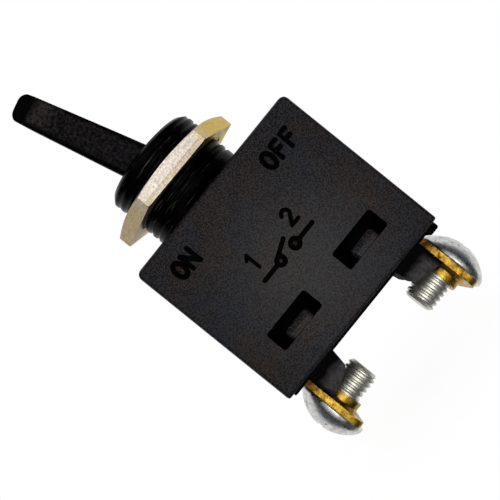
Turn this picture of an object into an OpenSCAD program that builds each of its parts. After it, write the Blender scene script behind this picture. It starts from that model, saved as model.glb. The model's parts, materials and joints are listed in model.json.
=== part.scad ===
// Panel-mount toggle switch with a threaded bushing and two screw terminals, in millimetres.
// The origin is on the bushing axis, in the plane of the panel seat. The lever points up, along +Z.
// The marked face looks toward -Y, ON lies toward -X and OFF toward +X. The lever rests at ON.

/* [Housing] */
// Width of the housing across the two terminals
body_w = 26; // [25:0.5:34]
// Depth of the housing from front to back
body_d = 16.5; // [15.5:0.5:24]
// Height of the housing below the panel seat
body_h = 22; // [20.5:0.5:30]
// Distance from the bushing axis to the middle of the housing, toward OFF
body_shift = 1.9; // [0:0.1:3]
// Thickness of the side walls
wall = 1.4; // [1.2:0.1:2]
// Thickness of the top wall under the bushing
top_wall = 2.2; // [1.6:0.1:2.8]
// Radius of the two top corners, seen from the front
corner_r = 1; // [0.5:0.1:2]
// Radius of the other outer edges
edge_r = 0.5; // [0.2:0.1:0.9]

/* [Bushing and nut] */
// Outer diameter of the bushing's thread
thread_d = 14; // [13:0.5:15]
// Length of the bushing above the panel seat
bushing_h = 8.6; // [8:0.1:12]
// Chamfer at the bushing's end
bushing_chamfer = 0.6; // [0.2:0.1:1]
// Wall of the nut, from its thread to its flats
nut_wall = 1.5; // [1.2:0.1:2.5]
// Thickness of the nut
nut_t = 2; // [1.5:0.1:3]
// Height of the nut's lower face above the panel seat
nut_z = 3.5; // [2.5:0.1:5]
// Turn of the nut from one flat to the front, in degrees
nut_turn = 4.5; // [0:0.5:30]
// Slope of the chamfer on the nut's corners, in degrees
nut_slope = 17; // [10:1:35]

/* [Lever] */
// Height of the lever's pivot above the panel seat
pivot_z = 4.3; // [3.6:0.1:5.2]
// Tilt of the lever from upright, in ON and in OFF
tilt = 14; // [8:1:16]
// Reach of the lever from its pivot to its tip
lever_reach = 21; // [16:0.5:30]
// Thickness of the lever at the bushing's mouth
lever_root = 4.6; // [4:0.1:5.2]
// Thickness of the lever at its tip
lever_tip = 3.6; // [3:0.1:4.6]
// Depth of the lever from front to back
lever_d = 6.4; // [5.6:0.1:7]
// Radius of the lever's tip corners
tip_r = 1.2; // [0.4:0.1:1.4]
// Radius of the lever's long edges
lever_edge = 0.9; // [0.3:0.1:1.2]
// Length of the bevels on the front and the back of the lever's tip
tip_bevel = 2.2; // [1:0.1:3]
// Set-back of the tip from the lever's front and back
tip_thin = 1.2; // [0.4:0.1:1.6]
// Width of the lever's lower arm
arm_w = 4.6; // [4.4:0.1:5]
// Reach of the lower arm from the pivot
arm_reach = 9.5; // [8.6:0.1:9.8]
// Diameter of the pivot pin
pin_d = 2; // [1.5:0.1:2.2]
// Depth of each pin end in the bushing
pin_bite = 1.6; // [1:0.1:1.8]

/* [Spring and plunger] */
// Diameter of the plunger's body
plunger_d = 3.4; // [2.8:0.1:3.6]
// Length of the plunger's body
plunger_len = 2.9; // [2.4:0.1:3.2]
// Diameter of the plunger's round nose
nose_d = 2.4; // [1.8:0.1:2.6]
// Stand-out of the nose below the lever's lower arm
nose_out = 2.5; // [2.1:0.1:3]
// Diameter of the spring's wire
spring_wire = 0.44; // [0.3:0.02:0.5]
// Number of turns of the spring
spring_turns = 5.5; // [4:0.5:6]

/* [Contacts] */
// Thickness of the contact rocker
rocker_t = 0.8; // [0.6:0.1:1]
// Rise of each rocker wing, in degrees, when the lever is upright
wing_rise = 10; // [6:1:11]
// Length of the wing that carries the contact
wing_contact = 8.2; // [7.6:0.1:9]
// Length of the free wing
wing_free = 6.2; // [5:0.1:6.4]
// Distance of the contacts from the rocker's fulcrum
contact_reach = 6.6; // [5.8:0.1:6.8]
// Diameter of the contact heads
contact_d = 3; // [2.4:0.1:3.2]
// Height of the moving contact's head
moving_h = 0.6; // [0.4:0.1:1]
// Height of the fixed contact's head
fixed_h = 1.1; // [0.8:0.1:1.6]

/* [Terminals] */
// Thickness of the brass strips
strip_t = 0.8; // [0.6:0.1:1.2]
// Width of the brass strips
strip_w = 7.6; // [7:0.1:8.4]
// Distance from a strip to the housing wall beside it
strip_inset = 0.5; // [0.3:0.1:1]
// Reach of the strips below the rim of the housing
strip_drop = 9.6; // [8.6:0.1:12]
// Depth of the screw axis below the rim of the housing
screw_drop = 6.1; // [5.8:0.1:7]
// Height of the rocker's ears on the common strip
ear_h = 5; // [4:0.1:5.4]
// Outer diameter of the tapped collar on a strip
collar_d = 5; // [4.8:0.1:5.4]
// Length of the tapped collar
collar_h = 1.3; // [0.8:0.1:3]
// Diameter of a terminal screw
screw_d = 4; // [3:0.5:4]
// Length of a terminal screw under its head
screw_len = 6; // [4:0.1:8]
// Diameter of a screw head
head_d = 9; // [7:0.1:10]
// Height of a screw head
head_h = 3; // [2.2:0.1:3.5]
// Radius of a screw head's shoulder
head_round = 1.3; // [0.6:0.1:1.6]

/* [Base] */
// Thickness of the flange under the housing's rim
flange_t = 0.35; // [0.3:0.05:1]
// Set-back of the flange from the housing's sides
flange_inset = 0.7; // [0.3:0.1:1.2]
// Thickness of the key under the flange's OFF end
key_t = 1; // [0.6:0.1:1.2]
// Set-back of the key from the housing's OFF side
key_inset = 0.4; // [0.2:0.1:0.7]
// Height of the plug inside the housing
plug_h = 2.4; // [1.8:0.1:3]
// Width of the block behind each strip, at the flange
block_w = 4.6; // [3:0.1:5]
// Narrowing of the block toward its end
block_taper = 0.55; // [0:0.05:1]
// Reach of the block below the rim of the housing, at its strip
block_drop = 4.7; // [4:0.1:5.5]
// Slope of the block's end, from its strip to its inner side
block_slope = 0.9; // [0:0.1:1.2]
// Distance between the middles of the two windows on one face
window_pitch = 11.5; // [10:0.5:13]
// Width of a window
window_w = 6.6; // [5:0.1:7.6]
// Height of a window
window_h = 2.8; // [2.4:0.1:4]
// Height of a window's lower edge above the rim
window_lift = 3.8; // [3.4:0.1:5]
// Width of a snap hook
hook_w = 3.6; // [2.5:0.1:4.6]
// Thickness of a hook's arm
hook_t = 1.2; // [0.8:0.1:1.4]

/* [Hidden] */

$fn = 64;

// Clearances between pieces, and the overlap that cuts and joints need
seat_gap = 0.02;
fit_gap = 0.05;
plug_gap = 0.1;
swing_gap = 0.3;
nut_gap = 0.06;
cut = 0.5;

// Housing
rim_z = -body_h;
ceiling_z = -top_wall;
inner_w = body_w - 2 * wall;
inner_d = body_d - 2 * wall;
inner_r = 0.6;

// Lever and its slot in the bushing
mouth_reach = bushing_h - pivot_z;
slot_x = swing_gap + max(mouth_reach * tan(tilt) + lever_root / 2 / cos(tilt),
                         (pivot_z + top_wall) * tan(tilt) + arm_w / 2 / cos(tilt));
slot_side = 0.2;
slot_y = lever_d / 2 + slot_side;
slot_r = 1.2;
hub_d = lever_root + 1;
pin_len = 2 * (slot_y + pin_bite);
groove_w = pin_d + 2 * seat_gap;

// Spring bore, spring and plunger, along the lever's lower arm
bore_d = plunger_d + 4 * fit_gap;
bore_top = -(pin_d / 2 + 1.3);
nose_r = nose_d / 2;
nose_reach = arm_reach + nose_out;
nose_cone = 0.6;
nose_shank = 0.9;
plunger_low = -(nose_reach - nose_r - nose_shank - nose_cone);
plunger_top = plunger_low + plunger_len;
spigot_d = plunger_d - 1.6;
spigot_h = 1;
spring_r = plunger_d / 2 - spring_wire / 2 - 0.13;
spring_high = bore_top - spring_wire / 2 - seat_gap;
spring_low = plunger_top + spring_wire / 2 + seat_gap;
spring_facets = 12;
wire_facets = 6;

// Rocker: its fulcrum leaves the nose a small gap when the lever is upright
nose_gap = 0.2;
fulcrum_z = pivot_z - (nose_reach - nose_r) - (nose_r + nose_gap + rocker_t / 2) / cos(wing_rise);
ear_t = strip_t;
ear_w = 3.6;
ear_side = 0.5;
rocker_w = strip_w - 2 * ear_t - 2 * ear_side;
lug_d = 0.9;
lug_end = 0.2;
notch_d = lug_d + 2 * fit_gap;
rivet_d = 1.6;
clinch_d = 2.4;
clinch_h = 0.25;
contact_gap = 0.03;

// Terminals, with distances measured from the middle of the housing
strip_out = inner_w / 2 - strip_inset;
strip_in = strip_out - strip_t;
bend_in = 0.4;
bend_out = bend_in + strip_t;
strip_low = rim_z - strip_drop;
strip_r = 1.5;
common_top = fulcrum_z - ear_h;
common_end = body_shift - ear_w / 2;
load_top = fulcrum_z - rocker_t / 2 - moving_h - contact_gap - fixed_h;
load_end = contact_reach - contact_d / 2 - 0.3 - body_shift;
screw_z = rim_z - screw_drop;
tap_d = screw_d + 2 * fit_gap;
flare = 0.4;
screw_chamfer = 0.4;
head_rim = 0.15;
recess_w = 0.9;
recess_len = 4.4;
recess_deep = 1.6;

// Base
flange_low = rim_z - flange_t;
key_d = body_d - 2 * flange_inset - 2 * edge_r;
plug_top = rim_z + plug_h;
catch_z = rim_z + window_lift + fit_gap;
hook_top = catch_z + window_h - swing_gap;
tooth_flat = 1;
block_d = strip_w - 0.6;
block_low = rim_z - block_drop;
saddle_d = collar_d + 2 * flare + 4 * fit_gap;
pillar_d = strip_w - 1.6;

// Rectangle between two heights, with one radius at its low corners and one at its high corners
module soft_rect(w, low, high, r_low, r_high) {
  translate([-w / 2, low + r_low]) square([w, high - low - r_low - r_high]);
  translate([-w / 2 + r_low, low]) square([w - 2 * r_low, r_low]);
  translate([-w / 2 + r_high, high - r_high]) square([w - 2 * r_high, r_high]);
  for (side = [-1, 1]) {
    translate([side * (w / 2 - r_low), low + r_low]) circle(r_low);
    translate([side * (w / 2 - r_high), high - r_high]) circle(r_high);
  }
}

// A plan outline, drawn in X and Y, raised between two heights
module upright(low, high) {
  translate([0, 0, low]) linear_extrude(high - low) children();
}

// A front outline, drawn in X and Z, given a depth along Y
module deep(depth) {
  rotate([90, 0, 0]) linear_extrude(depth, center = true) children();
}

// A side outline, drawn in Y and Z, given a width along X
module wide(width) {
  rotate([90, 0, 90]) linear_extrude(width, center = true) children();
}

// Children are drawn outward from the middle of the housing, on the ON side (-1) or the OFF side (1)
module on_side(side) {
  translate([body_shift, 0, 0]) mirror([side < 0 ? 1 : 0, 0, 0]) children();
}

// The frame of the lever at rest: its pivot is the origin, its tip points up
module on_lever() {
  translate([0, 0, pivot_z]) rotate([0, -tilt, 0]) children();
}

// The frame of the rocker at rest: its fulcrum is the origin, the contact wing is level
module on_rocker() {
  translate([0, 0, fulcrum_z]) rotate([0, wing_rise, 0]) children();
}

// Moulded box, open below, with the bushing, the lever's slot, the pin's grooves and the hook windows
module housing() {
  color("#3a3839") difference() {
    union() {
      translate([body_shift, 0, 0]) intersection() {
        deep(body_d) soft_rect(body_w, rim_z, 0, edge_r, corner_r);
        upright(rim_z, 0) soft_rect(body_w, -body_d / 2, body_d / 2, edge_r, edge_r);
        wide(body_w) soft_rect(body_d, rim_z, 0, edge_r, edge_r);
      }
      translate([0, 0, -top_wall / 2])
        cylinder(h = top_wall / 2 + bushing_h - bushing_chamfer, d = thread_d);
      translate([0, 0, bushing_h - bushing_chamfer])
        cylinder(h = bushing_chamfer, d1 = thread_d, d2 = thread_d - 2 * bushing_chamfer);
    }
    translate([body_shift, 0, 0]) upright(rim_z - cut, ceiling_z)
      soft_rect(inner_w, -inner_d / 2, inner_d / 2, inner_r, inner_r);
    upright(ceiling_z - cut, bushing_h + cut) soft_rect(2 * slot_x, -slot_y, slot_y, slot_r, slot_r);
    pin_groove();
    for (side = [-1, 1]) on_side(side)
      translate([window_pitch / 2 - window_w / 2, -body_d, rim_z + window_lift])
        cube([window_w, 2 * body_d, window_h]);
  }
}

// Groove that the pivot pin is pushed up into from below
module pin_groove() {
  deep(pin_len + 2 * plug_gap) {
    translate([0, pivot_z]) circle(d = groove_w);
    translate([-groove_w / 2, ceiling_z - cut]) square([groove_w, pivot_z - ceiling_z + cut]);
  }
}

// Moulded bottom: flange with a key, plug, pillars under the strips, blocks behind them and four snap hooks
module terminal_base() {
  color("#2b2a2b") difference() {
    union() {
      translate([body_shift, 0, 0]) {
        upright(flange_low, rim_z - seat_gap)
          soft_rect(body_w - 2 * flange_inset, -body_d / 2 + flange_inset, body_d / 2 - flange_inset,
                    edge_r, edge_r);
        upright(rim_z - flange_t / 2, plug_top)
          soft_rect(inner_w - 2 * plug_gap, -inner_d / 2 + plug_gap, inner_d / 2 - plug_gap,
                    inner_r, inner_r);
      }
      on_side(1) flange_key();
      on_side(-1) pillar(common_end, common_top - strip_t);
      on_side(1) pillar(load_end, load_top - strip_t);
      for (side = [-1, 1]) on_side(side) {
        terminal_block();
        for (face = [0, 1]) mirror([0, face, 0]) snap_hook();
      }
    }
    for (side = [-1, 1]) on_side(side) {
      translate([strip_in - fit_gap, -strip_w / 2 - fit_gap, strip_low])
        cube([strip_t + 2 * fit_gap, strip_w + 2 * fit_gap, -strip_low]);
      translate([0, 0, screw_z]) rotate([0, 90, 0]) cylinder(h = strip_out, d = saddle_d);
    }
    translate([contact_reach, 0, load_top - strip_t - 3 * clinch_h])
      cylinder(h = 3 * clinch_h, d = clinch_d + 2 * swing_gap);
  }
}

// Key at the flange's OFF end, so that the two ends can be told apart
module flange_key() {
  inner = strip_out + 2 * fit_gap;
  outer = body_w / 2 - key_inset;
  upright(rim_z - key_t, rim_z - seat_gap) translate([inner, -key_d / 2]) square([outer - inner, key_d]);
}

// Pillar on the plug that carries a strip's level leg
module pillar(inner, leg_low) {
  outer = strip_in - bend_in - fit_gap;
  translate([inner, -pillar_d / 2, rim_z]) cube([outer - inner, pillar_d, leg_low - seat_gap - rim_z]);
}

// Tapered block behind a strip, under the flange
module terminal_block() {
  inner = strip_in - block_w;
  deep(block_d) polygon([
    [strip_in, rim_z - flange_t / 2],
    [inner, rim_z - flange_t / 2],
    [inner + block_taper, block_low + block_slope + edge_r],
    [inner + block_taper + edge_r, block_low + block_slope],
    [strip_in, block_low]
  ]);
}

// Snap hook on the front: its arm stands inside the wall, its tooth fills the lower part of a window
module snap_hook() {
  arm_y = -inner_d / 2 + plug_gap;
  tooth_y = -body_d / 2 + fit_gap;
  translate([window_pitch / 2, 0, 0]) wide(hook_w) polygon([
    [arm_y + hook_t, plug_top - cut],
    [arm_y, plug_top - cut],
    [arm_y, catch_z],
    [tooth_y, catch_z],
    [tooth_y, catch_z + tooth_flat],
    [arm_y, hook_top],
    [arm_y + hook_t, hook_top]
  ]);
}

// Thin panel nut, its corners chamfered toward the lever
module hex_nut() {
  across = thread_d + 2 * nut_wall;
  color("#b9b6ae") translate([0, 0, nut_z]) rotate(nut_turn) difference() {
    intersection() {
      cylinder(h = nut_t, d = across / cos(30), $fn = 6);
      cylinder(h = nut_t, d1 = across + 2 * nut_t / tan(nut_slope), d2 = across);
    }
    translate([0, 0, -cut]) cylinder(h = nut_t + 2 * cut, d = thread_d + 2 * nut_gap);
  }
}

// Flat lever with its hub on the pin and a lower arm bored for the spring and the plunger
module toggle_lever() {
  color("#262426") on_lever() difference() {
    union() {
      intersection() {
        deep(lever_d) lever_profile();
        upright(-arm_reach, lever_reach)
          soft_rect(max(lever_root, arm_w), -lever_d / 2, lever_d / 2, lever_edge, lever_edge);
        wide(2 * lever_root) lever_side();
      }
      deep(lever_d) circle(d = hub_d);
    }
    deep(lever_d + 2 * cut) circle(d = pin_d + 2 * fit_gap);
    translate([0, 0, -arm_reach - cut]) cylinder(h = arm_reach + cut + bore_top, d = bore_d);
  }
}

// Front outline of the lever: straight lower arm, then a taper from the bushing's mouth to the tip
module lever_profile() {
  shoulder = lever_reach - tip_r;
  translate([-arm_w / 2, -arm_reach]) square([arm_w, arm_reach]);
  polygon([
    [-lever_root / 2, 0], [lever_root / 2, 0],
    [lever_root / 2, mouth_reach], [lever_tip / 2, shoulder],
    [-lever_tip / 2, shoulder], [-lever_root / 2, mouth_reach]
  ]);
  translate([-lever_tip / 2 + tip_r, shoulder]) square([lever_tip - 2 * tip_r, tip_r]);
  for (side = [-1, 1]) translate([side * (lever_tip / 2 - tip_r), shoulder]) circle(tip_r);
}

// Side outline of the lever, bevelled to its tip on both faces
module lever_side() {
  soft_rect(lever_d, -arm_reach, 0, edge_r, edge_r);
  polygon([
    [-lever_d / 2, -arm_reach / 2], [lever_d / 2, -arm_reach / 2],
    [lever_d / 2, lever_reach - tip_bevel], [lever_d / 2 - tip_thin, lever_reach],
    [tip_thin - lever_d / 2, lever_reach], [-lever_d / 2, lever_reach - tip_bevel]
  ]);
}

// Steel pin that the lever turns on
module pivot_pin() {
  color("silver") translate([0, 0, pivot_z]) rotate([90, 0, 0])
    cylinder(h = pin_len, d = pin_d, center = true);
}

// Coil spring in the lower arm, swept ring by ring along its helix
module toggle_spring() {
  last = spring_turns * spring_facets;
  points = [for (i = [0:last], j = [0:wire_facets - 1]) spring_point(i / last, 360 * j / wire_facets)];
  sides = [for (i = [0:last - 1], j = [0:wire_facets - 1]) [
    i * wire_facets + j,
    i * wire_facets + (j + 1) % wire_facets,
    (i + 1) * wire_facets + (j + 1) % wire_facets,
    (i + 1) * wire_facets + j
  ]];
  start = [for (j = [wire_facets - 1:-1:0]) j];
  end = [for (j = [0:wire_facets - 1]) last * wire_facets + j];
  color("gray") on_lever() polyhedron(points, concat([start], sides, [end]));
}

// Point on the spring's wire, at a share of the coil's length and an angle round the wire
function spring_point(share, round_wire) =
  let (turn = 360 * spring_turns * share,
       out = spring_r + spring_wire / 2 * cos(round_wire),
       up = spring_low + (spring_high - spring_low) * share + spring_wire / 2 * sin(round_wire))
  [out * cos(turn), out * sin(turn), up];

// Plunger with a spigot inside the spring and a round nose on the rocker
module plunger() {
  color("ivory") on_lever() {
    rotate_extrude() polygon([
      [0, plunger_top + spigot_h], [spigot_d / 2, plunger_top + spigot_h],
      [spigot_d / 2, plunger_top], [plunger_d / 2, plunger_top],
      [plunger_d / 2, plunger_low], [nose_r, plunger_low - nose_cone],
      [nose_r, nose_r - nose_reach], [0, nose_r - nose_reach]
    ]);
    translate([0, 0, nose_r - nose_reach]) sphere(nose_r);
  }
}

// V-shaped contact rocker with a round lug on each side for the ears
module rocker_arm() {
  color("peru") difference() {
    on_rocker() {
      deep(rocker_w) {
        rotate(wing_rise) translate([0, -rocker_t / 2]) square([wing_contact, rocker_t]);
        rotate(180 - wing_rise) translate([0, -rocker_t / 2]) square([wing_free, rocker_t]);
        circle(d = rocker_t);
      }
      deep(strip_w + 2 * lug_end) circle(d = lug_d);
    }
    translate([contact_reach, 0, fulcrum_z - rocker_t])
      cylinder(h = 2 * rocker_t, d = rivet_d + 2 * seat_gap);
  }
}

// Rivet with its head at height zero, its shank upward through a sheet, and a clinched end
module contact_rivet(head, head_h, sheet) {
  translate([0, 0, -head_h]) cylinder(h = head_h - seat_gap, d = head);
  translate([0, 0, -head_h / 2]) cylinder(h = sheet + head_h / 2 + clinch_h / 2 + seat_gap, d = rivet_d);
  translate([0, 0, sheet + seat_gap]) cylinder(h = clinch_h, d = clinch_d);
}

// Contact under the rocker's level wing
module moving_contact() {
  color("gainsboro") translate([contact_reach, 0, fulcrum_z - rocker_t / 2])
    contact_rivet(contact_d, moving_h, rocker_t);
}

// Contact on top of the load strip's level leg
module fixed_contact() {
  color("gainsboro") translate([contact_reach, 0, load_top]) mirror([0, 0, 1])
    contact_rivet(contact_d, fixed_h, strip_t);
}

// Bent brass strip with a tapped collar: an upright leg through the base and a level leg inside
module bent_strip(leg_top, leg_end) {
  difference() {
    union() {
      intersection() {
        deep(strip_w) strip_profile(leg_top, leg_end);
        wide(2 * body_w) soft_rect(strip_w, strip_low, 0, strip_r, edge_r);
      }
      translate([strip_in, 0, screw_z]) rotate([0, -90, 0]) tapped_collar();
    }
    translate([strip_in - collar_h - cut, 0, screw_z]) rotate([0, 90, 0])
      cylinder(h = collar_h + strip_t + 2 * cut, d = tap_d);
  }
}

// Front outline of a bent strip, drawn outward from the middle of the housing
module strip_profile(leg_top, leg_end) {
  translate([strip_in, strip_low]) square([strip_t, leg_top - bend_out - strip_low]);
  translate([leg_end, leg_top - strip_t]) square([strip_out - bend_out - leg_end, strip_t]);
  translate([strip_out - bend_out, leg_top - bend_out]) intersection() {
    difference() {
      circle(bend_out);
      circle(bend_in);
    }
    square(bend_out);
  }
}

// Burred collar with a flared root
module tapped_collar() {
  translate([0, 0, -strip_t / 2]) cylinder(h = strip_t / 2 + collar_h, d = collar_d);
  cylinder(h = flare, d1 = collar_d + 2 * flare, d2 = collar_d);
}

// Strip 1: its level leg carries two notched ears for the rocker
module common_terminal() {
  color("goldenrod") {
    on_side(-1) bent_strip(common_top, common_end);
    for (side = [-1, 1]) translate([0, side * (strip_w - ear_t) / 2, 0]) deep(ear_t) rocker_ear();
  }
}

// Ear with an open notch for the rocker's lug
module rocker_ear() {
  ear_top = fulcrum_z + rocker_t / 2;
  difference() {
    soft_rect(ear_w, common_top - strip_t, ear_top, edge_r / 2, edge_r);
    translate([0, fulcrum_z]) circle(d = notch_d);
    translate([-notch_d / 2, fulcrum_z]) square([notch_d, rocker_t]);
  }
}

// Strip 2: its level leg carries the fixed contact
module load_terminal() {
  color("goldenrod") difference() {
    on_side(1) bent_strip(load_top, load_end);
    translate([contact_reach, 0, load_top - strip_t - cut])
      cylinder(h = strip_t + 2 * cut, d = rivet_d + 2 * seat_gap);
  }
}

// Domed screw with a cross recess: its head bears on the strip's outer side, its end points inward
module terminal_screw() {
  color("lightgray") translate([strip_out + seat_gap, 0, screw_z]) rotate([0, 90, 0]) difference() {
    union() {
      rotate_extrude() polygon([
        [0, head_rim / 2], [screw_d / 2, head_rim / 2], [screw_d / 2, screw_chamfer - screw_len],
        [screw_d / 2 - screw_chamfer, -screw_len], [0, -screw_len]
      ]);
      rotate_extrude() head_profile();
    }
    for (turn = [0, 90]) rotate(turn) translate([-recess_len / 2, -recess_w / 2, head_h - recess_deep])
      cube([recess_len, recess_w, recess_deep]);
  }
}

// Half outline of a screw head: a dome that runs into a round shoulder over a short rim
module head_profile() {
  shoulder = head_d / 2 - head_round;
  dome_h = head_h - head_rim;
  dome_r = (pow(shoulder, 2) + pow(dome_h, 2) - pow(head_round, 2)) / (2 * (dome_h - head_round));
  square([head_d / 2, head_rim]);
  intersection() {
    translate([0, head_h - dome_r]) circle(dome_r);
    square([dome_r * shoulder / (dome_r - head_round), head_h]);
  }
  intersection() {
    translate([shoulder, head_rim]) circle(head_round);
    square([head_d / 2, head_h]);
  }
}

module terminal_screw_1() {
  on_side(-1) terminal_screw();
}

module terminal_screw_2() {
  on_side(1) terminal_screw();
}

housing();
terminal_base();
hex_nut();
toggle_lever();
pivot_pin();
toggle_spring();
plunger();
rocker_arm();
moving_contact();
fixed_contact();
common_terminal();
load_terminal();
terminal_screw_1();
terminal_screw_2();
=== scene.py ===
import bmesh
import bpy
import json
import math
from mathutils import Matrix, Vector


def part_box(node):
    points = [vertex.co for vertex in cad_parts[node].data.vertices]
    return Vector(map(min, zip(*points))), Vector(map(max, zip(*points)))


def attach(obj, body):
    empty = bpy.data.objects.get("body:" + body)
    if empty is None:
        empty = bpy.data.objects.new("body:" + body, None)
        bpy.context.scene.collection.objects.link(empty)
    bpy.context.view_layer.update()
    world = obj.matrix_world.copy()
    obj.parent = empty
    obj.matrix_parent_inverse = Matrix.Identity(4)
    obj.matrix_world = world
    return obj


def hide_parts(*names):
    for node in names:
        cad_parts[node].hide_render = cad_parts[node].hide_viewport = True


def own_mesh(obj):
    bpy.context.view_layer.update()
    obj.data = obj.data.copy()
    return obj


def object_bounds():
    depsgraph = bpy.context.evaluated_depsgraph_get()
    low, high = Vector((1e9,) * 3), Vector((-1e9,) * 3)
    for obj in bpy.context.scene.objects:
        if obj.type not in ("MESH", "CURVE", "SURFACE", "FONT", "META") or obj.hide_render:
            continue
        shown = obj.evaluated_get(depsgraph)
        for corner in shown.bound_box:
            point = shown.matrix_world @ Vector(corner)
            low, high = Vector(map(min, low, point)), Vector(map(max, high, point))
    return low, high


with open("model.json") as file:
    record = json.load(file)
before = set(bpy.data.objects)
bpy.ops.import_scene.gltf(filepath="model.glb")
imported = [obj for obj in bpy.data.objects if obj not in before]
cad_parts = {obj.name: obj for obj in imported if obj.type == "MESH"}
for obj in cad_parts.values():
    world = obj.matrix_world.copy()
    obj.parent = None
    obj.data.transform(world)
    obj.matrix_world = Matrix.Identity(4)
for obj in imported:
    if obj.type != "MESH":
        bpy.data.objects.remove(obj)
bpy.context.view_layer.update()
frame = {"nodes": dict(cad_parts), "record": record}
cadNodes = frame["nodes"]
mm = 0.001  # pieces are modelled in millimetres and brought to metres when they are finished
white, black = (1, 1, 1), (0, 0, 0)


# camera: square to the marked face and rolled, so that the lever points up to the left

cameraSet = {
    "place": (-0.9, -82.25, -8.1),
    "right": (0.6283, 0.0, -0.7780),
    "lens": 48.2,
    "sensor": 36.0,
    "clipStart": 1.0,
}


def makeCamera():
    data = bpy.data.cameras.new("photoCamera")
    data.lens = cameraSet["lens"]
    data.sensor_width = cameraSet["sensor"]
    data.clip_start = cameraSet["clipStart"] * mm
    camera = bpy.data.objects.new("photoCamera", data)
    bpy.context.scene.collection.objects.link(camera)
    right = Vector(cameraSet["right"]).normalized()
    back = Vector((0, -1, 0))
    up = back.cross(right)
    turn = Matrix((right, up, back)).transposed().to_4x4()
    camera.matrix_world = Matrix.Translation(Vector(cameraSet["place"]) * mm) @ turn
    bpy.context.scene.camera = camera


makeCamera()
print("camera ready")


# material helpers: a noise is given as its scale per metre, its detail and its roughness

noiseRange = (0.25, 0.75)  # nearly all of a noise lies between these


def newMaterial(name):
    material = bpy.data.materials.new(name)
    material.use_nodes = True
    nodes = material.node_tree.nodes
    shader = nodes["Principled BSDF"]
    coords = nodes.new("ShaderNodeTexCoord")
    return material, nodes, material.node_tree.links, shader, coords.outputs["Object"]


def stretched(nodes, links, coords, scale):
    mapping = nodes.new("ShaderNodeMapping")
    mapping.inputs["Scale"].default_value = scale
    links.new(coords, mapping.inputs["Vector"])
    return mapping.outputs["Vector"]


def noise(nodes, links, coords, perMetre, detail=3.0, rough=0.6):
    texture = nodes.new("ShaderNodeTexNoise")
    texture.inputs["Scale"].default_value = perMetre
    texture.inputs["Detail"].default_value = detail
    texture.inputs["Roughness"].default_value = rough
    links.new(coords, texture.inputs["Vector"])
    return texture.outputs["Fac"]


def ramp(nodes, links, value, stops):
    node = nodes.new("ShaderNodeValToRGB")
    elements = node.color_ramp.elements
    while len(elements) < len(stops):
        elements.new(0.5)
    for element, (place, colour) in zip(elements, stops):
        element.position = place
        element.color = (*colour, 1)
    links.new(value, node.inputs["Fac"])
    return node.outputs["Color"]


def spread(nodes, links, value, low, high):
    node = nodes.new("ShaderNodeMapRange")
    node.inputs["From Min"].default_value, node.inputs["From Max"].default_value = noiseRange
    node.inputs["To Min"].default_value = low
    node.inputs["To Max"].default_value = high
    links.new(value, node.inputs["Value"])
    return node.outputs["Result"]


def bump(nodes, links, height, strength, depth):
    node = nodes.new("ShaderNodeBump")
    node.inputs["Strength"].default_value = strength
    node.inputs["Distance"].default_value = depth * mm
    links.new(height, node.inputs["Height"])
    return node.outputs["Normal"]


def along(nodes, links, vector, axis, start, end, unit=mm):
    # from 0 at the start to 1 at the end, on one axis of the object
    parts = nodes.new("ShaderNodeSeparateXYZ")
    links.new(vector, parts.inputs["Vector"])
    node = nodes.new("ShaderNodeMapRange")
    node.inputs["From Min"].default_value = start * unit
    node.inputs["From Max"].default_value = end * unit
    links.new(parts.outputs[axis], node.inputs["Value"])
    return node.outputs["Result"]


def joined(nodes, links, values, operation):
    # one value from several, two at a time
    result = values[0]
    for value in values[1:]:
        node = nodes.new("ShaderNodeMath")
        node.operation = operation
        links.new(result, node.inputs[0])
        links.new(value, node.inputs[1])
        result = node.outputs[0]
    return result


def colourMix(nodes, links, first, second, blend="MIX"):
    node = nodes.new("ShaderNodeMix")
    node.data_type = "RGBA"
    node.blend_type = blend
    node.inputs["Factor"].default_value = 1.0
    links.new(first, node.inputs["A"])
    links.new(second, node.inputs["B"])
    return node


def mixed(nodes, links, share, first, second):
    node = colourMix(nodes, links, first, second)
    links.new(share, node.inputs["Factor"])
    return node.outputs["Result"]


# plastics: the moulded ones share a fine grain, which their gloss and relief follow

fineGrain = {"noise": (4600.0, 2.0, 0.7), "depth": 0.05}


def mouldGloss(nodes, links, shader, coords, gloss):
    fine = noise(nodes, links, coords, *fineGrain["noise"])
    links.new(spread(nodes, links, fine, gloss["smooth"], gloss["rough"]), shader.inputs["Roughness"])
    links.new(bump(nodes, links, fine, gloss["bump"], fineGrain["depth"]), shader.inputs["Normal"])
    shader.inputs["Specular IOR Level"].default_value = gloss["level"]


mouldSet = {
    "grain": (5600.0, 2.0, 0.6),
    "stops": (0.43, 0.57),
    "tone": (210.0, 6.0, 0.72),
    "toneSpread": (-0.4, 1.4),
}


def mouldedBlack(name, dark, light, tint, gloss):
    # grain in a warm and a cool tone, which change over in slow patches and fine specks
    material, nodes, links, shader, coords = newMaterial(name)
    grain = noise(nodes, links, coords, *mouldSet["grain"])
    tone = spread(nodes, links, noise(nodes, links, coords, *mouldSet["tone"]), *mouldSet["toneSpread"])

    def tinted(shades):
        tones = [[level * shade for shade in shades] for level in (dark, light)]
        return ramp(nodes, links, grain, list(zip(mouldSet["stops"], tones)))

    links.new(mixed(nodes, links, tone, tinted(tint), tinted(tint[::-1])), shader.inputs["Base Color"])
    mouldGloss(nodes, links, shader, coords, gloss)
    return material


housingBlack = mouldedBlack(
    "housingBlack", dark=0.0022, light=0.0190, tint=(1.42, 1.0, 0.84),
    gloss={"smooth": 0.1, "rough": 0.3, "bump": 0.28, "level": 0.044})
markAndShadeBlack = mouldedBlack(
    "markAndShadeBlack", dark=0.0003, light=0.0012, tint=white,
    gloss={"smooth": 0.6, "rough": 0.8, "bump": 0.4, "level": 0.02})

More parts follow.
